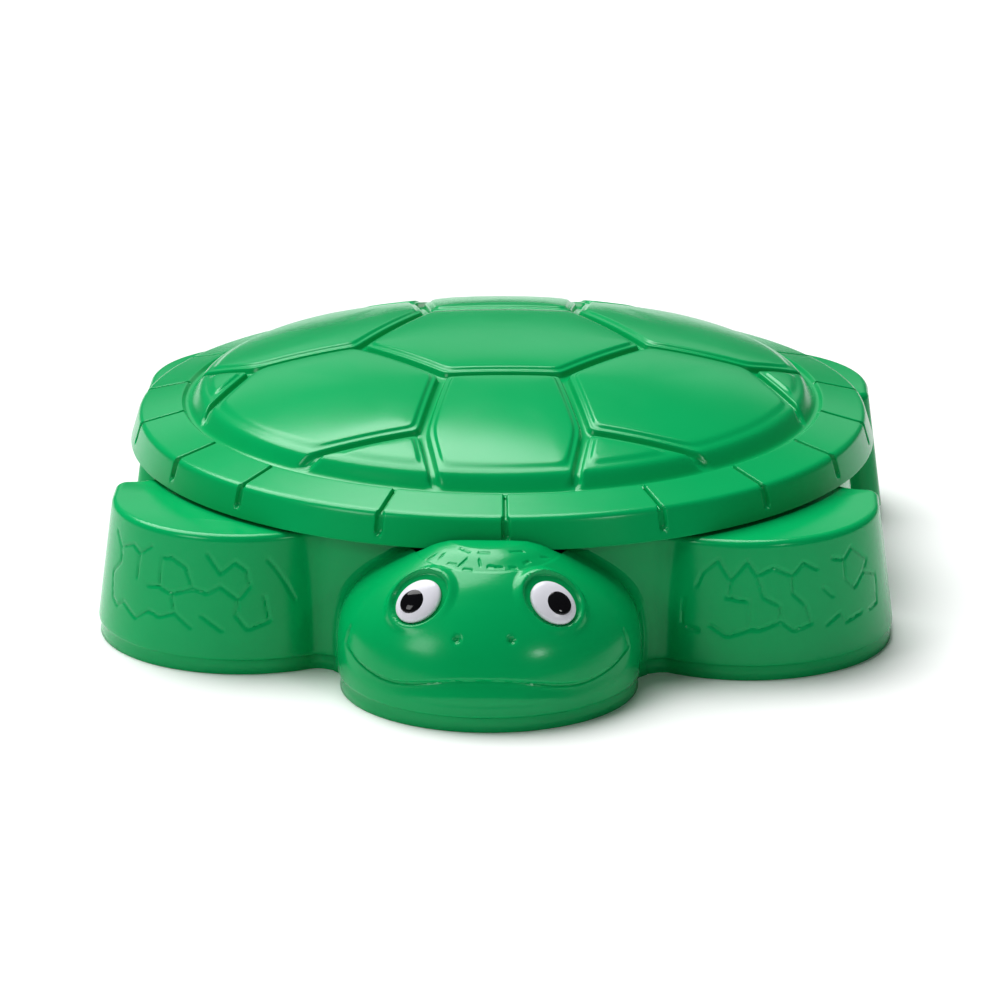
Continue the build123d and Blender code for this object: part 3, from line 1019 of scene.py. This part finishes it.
def sculpt_head(grid, angles):
    """Presses the features into the head's front."""
    columns = angles.shape[1]
    front = grid[:, :columns]
    up = np.gradient(front, axis=0)
    across = np.gradient(front, axis=1)
    normal = np.cross(across, up)
    length = np.linalg.norm(normal, axis=2, keepdims=True)
    normal = normal / np.maximum(length, 1e-9)
    x, y, z = np.moveaxis(front, 2, 0)
    for hand in (1, -1):
        origin, along, over, out = eye_frame(hand)
        lift = np.array([0, 0, 1]) - out * out[2]
        lift = lift / np.linalg.norm(lift) * SOCKET_LIFT
        local = front - origin - lift
        distance = oval_distance(local @ along, local @ over, SOCKET_HALF)
        height = (front - origin) @ out
        target = -SOCKET_DEPTH + (SOCKET_DEPTH + BROW_HEIGHT) * smooth(distance, -2.6, 1.0)
        weight = 1 - smooth(distance, 1.5, 13)
        front += out * ((target - height) * weight)[..., None]
    press = np.zeros_like(z)
    for hand in (1, -1):
        spot = np.array([hand * NOSTRIL[0], *NOSTRIL[1:]])
        press += 4.0 * (1 - smooth(np.linalg.norm(front - spot, axis=2), 1.0, 7.0))
        line = [value * turn for value, turn in zip(CHEEK_LINE, (hand, 1, hand, 1))]
        from_line = segment_distance(angles * CHEEK_RADIUS, z, line)
        press += 1.8 * (1 - smooth(from_line, 0.5, 3.5))
    aside = np.degrees(np.abs(angles))
    below = spline(aside, *MOUTH) - z
    in_mouth = 1 - smooth(aside, 63, 70)
    press += in_mouth * 2.6 * smooth(below, -1.6, 2.0) * (1 - smooth(below, 3, 24))
    corner = smooth(aside, 12, 26)
    press += in_mouth * (1.0 + 1.6 * corner) * (1 - smooth(np.abs(below - 1), 0.4, 2.8))
    press += 0.6 * (1 - smooth(np.abs(z - 34), 0.4, 3)) * (1 - smooth(np.abs(x), 60, 95))
    crown = smooth(z, 160, 166)
    for dash in DASHES:
        press += crown * 1.3 * (1 - smooth(segment_distance(x, y, dash), 0.3, 2.2))
    front -= normal * press[..., None]
    return grid


def make_head():
    """The sculpted outer face of the head and a plain inner face."""
    skin = Skin()
    grid, angles = head_grid(0)
    rows = [skin.add(loop) for loop in sculpt_head(grid, angles)]
    for lower, upper in zip(rows, rows[1:]):
        skin.strip(lower, upper)
    skin.faces.append([int(k) for k in rows[-1]])
    hollow, _ = head_grid(WALL)
    hollow[..., 2] = np.where(hollow[..., 2] > 20, hollow[..., 2] - WALL, hollow[..., 2])
    inner = [skin.add(loop) for k, loop in enumerate(hollow)
             if k < INNER_HEAD_ROWS or k % INNER_HEAD_EVERY == 0]
    for lower, upper in zip(inner, inner[1:]):
        skin.strip(upper, lower)
    skin.faces.append([int(k) for k in inner[-1][::-1]])
    skin.strip(inner[0], rows[0])
    head = skin.build("head_shell", GREEN, sharp=55)
    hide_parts("base_tub")
    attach(head, "base")


# ---------------------------------------------------------------- eyes
WHITE_RIM = 3
WHITE_DOME = 8
PUPIL_HALF = (16, 14)
PUPIL_SHIFT = (-5.4, 1.2)
PUPIL_SEAT = 3
PUPIL_RIM = 4
PUPIL_DOME = 4
STEM_RADIUS = 5
STEM_LENGTH = 9


def oval_button(name, eye, seat, half, rim, dome, stem, material):
    """A domed oval with a rounded rim and, on the white, a stem through the wall."""
    origin, along, over, out = eye
    profile = []
    if stem:
        profile += [(STEM_RADIUS / half[0], -stem), (STEM_RADIUS / half[0], 0)]
    profile += [(0.985, 0), (1, 0.5)]
    levels = np.sin(np.linspace(0, pi / 2, 22))
    profile += [((1 - level**2) ** 0.5, rim + dome * level) for level in levels[:-1]]
    skin = Skin()
    turn = np.linspace(0, 2 * pi, 96, endpoint=False)
    rows = []
    for scale, height in profile:
        flat = np.outer(np.cos(turn) * half[0] * scale, along)
        flat = flat + np.outer(np.sin(turn) * half[1] * scale, over)
        rows.append(skin.add(origin + flat + out * (seat + height)))
    for lower, upper in zip(rows, rows[1:]):
        skin.strip(lower, upper)
    skin.fan(rows[-1], skin.add([origin + out * (seat + rim + dome)])[0])
    skin.faces.append([int(k) for k in rows[0][::-1]])
    button = skin.build(name, material, sharp=50)
    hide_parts(name.replace("_look", ""))
    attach(button, "base")


def make_eyes():
    """Whites and pupils on both sides; the washers keep the frame's own meshes."""
    for side, hand in (("left", -1), ("right", 1)):
        origin, along, over, out = eye_frame(hand)
        oval_button(
            f"{side}_eye_white_look", (origin, along, over, out), -SOCKET_DEPTH, EYE_HALF,
            WHITE_RIM, WHITE_DOME, STEM_LENGTH, WHITE)
        shifted = origin + along * PUPIL_SHIFT[0] - over * hand * PUPIL_SHIFT[1]
        oval_button(
            f"{side}_pupil_look", (shifted, along, over, out), PUPIL_SEAT, PUPIL_HALF,
            PUPIL_RIM, PUPIL_DOME, 0, BLACK)
        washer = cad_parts[f"{side}_eye_washer"]
        washer.data.materials.clear()
        washer.data.materials.append(STEEL)


# ---------------------------------------------------------------- camera, floor and lights
VIEW_AZIMUTH = radians(2.0)
VIEW_ELEVATION = radians(17.5)
VIEW_DISTANCE = 7.0
VIEW_LENS = 197.45
VIEW_CENTER = Vector((0, 0, 0.15))
AIM = Vector((-0.0028, 0, 0.0856))
FLOOR_HALF = 12


def make_camera():
    """A long lens from in front, a little to the side and above."""
    data = bpy.data.cameras.new("camera")
    data.sensor_width = 36
    data.lens = VIEW_LENS
    data.clip_end = 50
    camera = bpy.data.objects.new("camera", data)
    level = cos(VIEW_ELEVATION)
    back = Vector((sin(VIEW_AZIMUTH) * level, -cos(VIEW_AZIMUTH) * level, sin(VIEW_ELEVATION)))
    camera.location = VIEW_CENTER + back * VIEW_DISTANCE
    camera.rotation_euler = (AIM - camera.location).to_track_quat("-Z", "Y").to_euler()
    bpy.context.scene.collection.objects.link(camera)
    bpy.context.scene.camera = camera


def make_floor():
    data = bpy.data.meshes.new("floor")
    corners = [(x * FLOOR_HALF, y * FLOOR_HALF, 0) for x, y in ((-1, -1), (1, -1), (1, 1), (-1, 1))]
    data.from_pydata(corners, [], [(0, 1, 2, 3)])
    material, nodes, _ = new_material("floor")
    shader = nodes["Principled BSDF"]
    shader.inputs["Base Color"].default_value = (0.93, 0.93, 0.93, 1)
    shader.inputs["Roughness"].default_value = 0.6
    shader.inputs["Specular IOR Level"].default_value = 0.2
    data.materials.append(material)
    floor = bpy.data.objects.new("floor", data)
    bpy.context.scene.collection.objects.link(floor)


def add_softbox(name, place, size, power, aim=(0, 0, 0.1)):
    data = bpy.data.lights.new(name, "AREA")
    data.shape = "RECTANGLE"
    data.size, data.size_y = size
    data.energy = power
    light = bpy.data.objects.new(name, data)
    light.location = place
    light.rotation_euler = (Vector(aim) - Vector(place)).to_track_quat("-Z", "Y").to_euler()
    bpy.context.scene.collection.objects.link(light)


def make_lights():
    """A dim white world, a broad sun from above and behind, and three softboxes."""
    world = bpy.data.worlds.new("studio")
    world.use_nodes = True
    world.node_tree.nodes["Background"].inputs["Color"].default_value = (1, 1, 1, 1)
    world.node_tree.nodes["Background"].inputs["Strength"].default_value = 0.08
    bpy.context.scene.world = world
    data = bpy.data.lights.new("overhead", "SUN")
    data.energy = 3.35
    data.angle = radians(50)
    overhead = bpy.data.objects.new("overhead", data)
    overhead.rotation_euler = Vector((-0.28, 0.38, 0.9)).to_track_quat("Z", "Y").to_euler()
    bpy.context.scene.collection.objects.link(overhead)
    add_softbox("back", (0, 5.5, 2.2), (5, 1.2), 9)
    add_softbox("left", (-2.4, -2.4, 1.9), (1.1, 1.1), 20)
    add_softbox("right", (2.0, -3.0, 1.7), (0.45, 0.45), 9)


make_camera()
make_cover()
make_base()
make_tail()
make_head()
make_eyes()
make_floor()
make_lights()
bpy.context.scene.view_settings.view_transform = "Standard"
bpy.context.scene.view_settings.look = "Medium High Contrast"
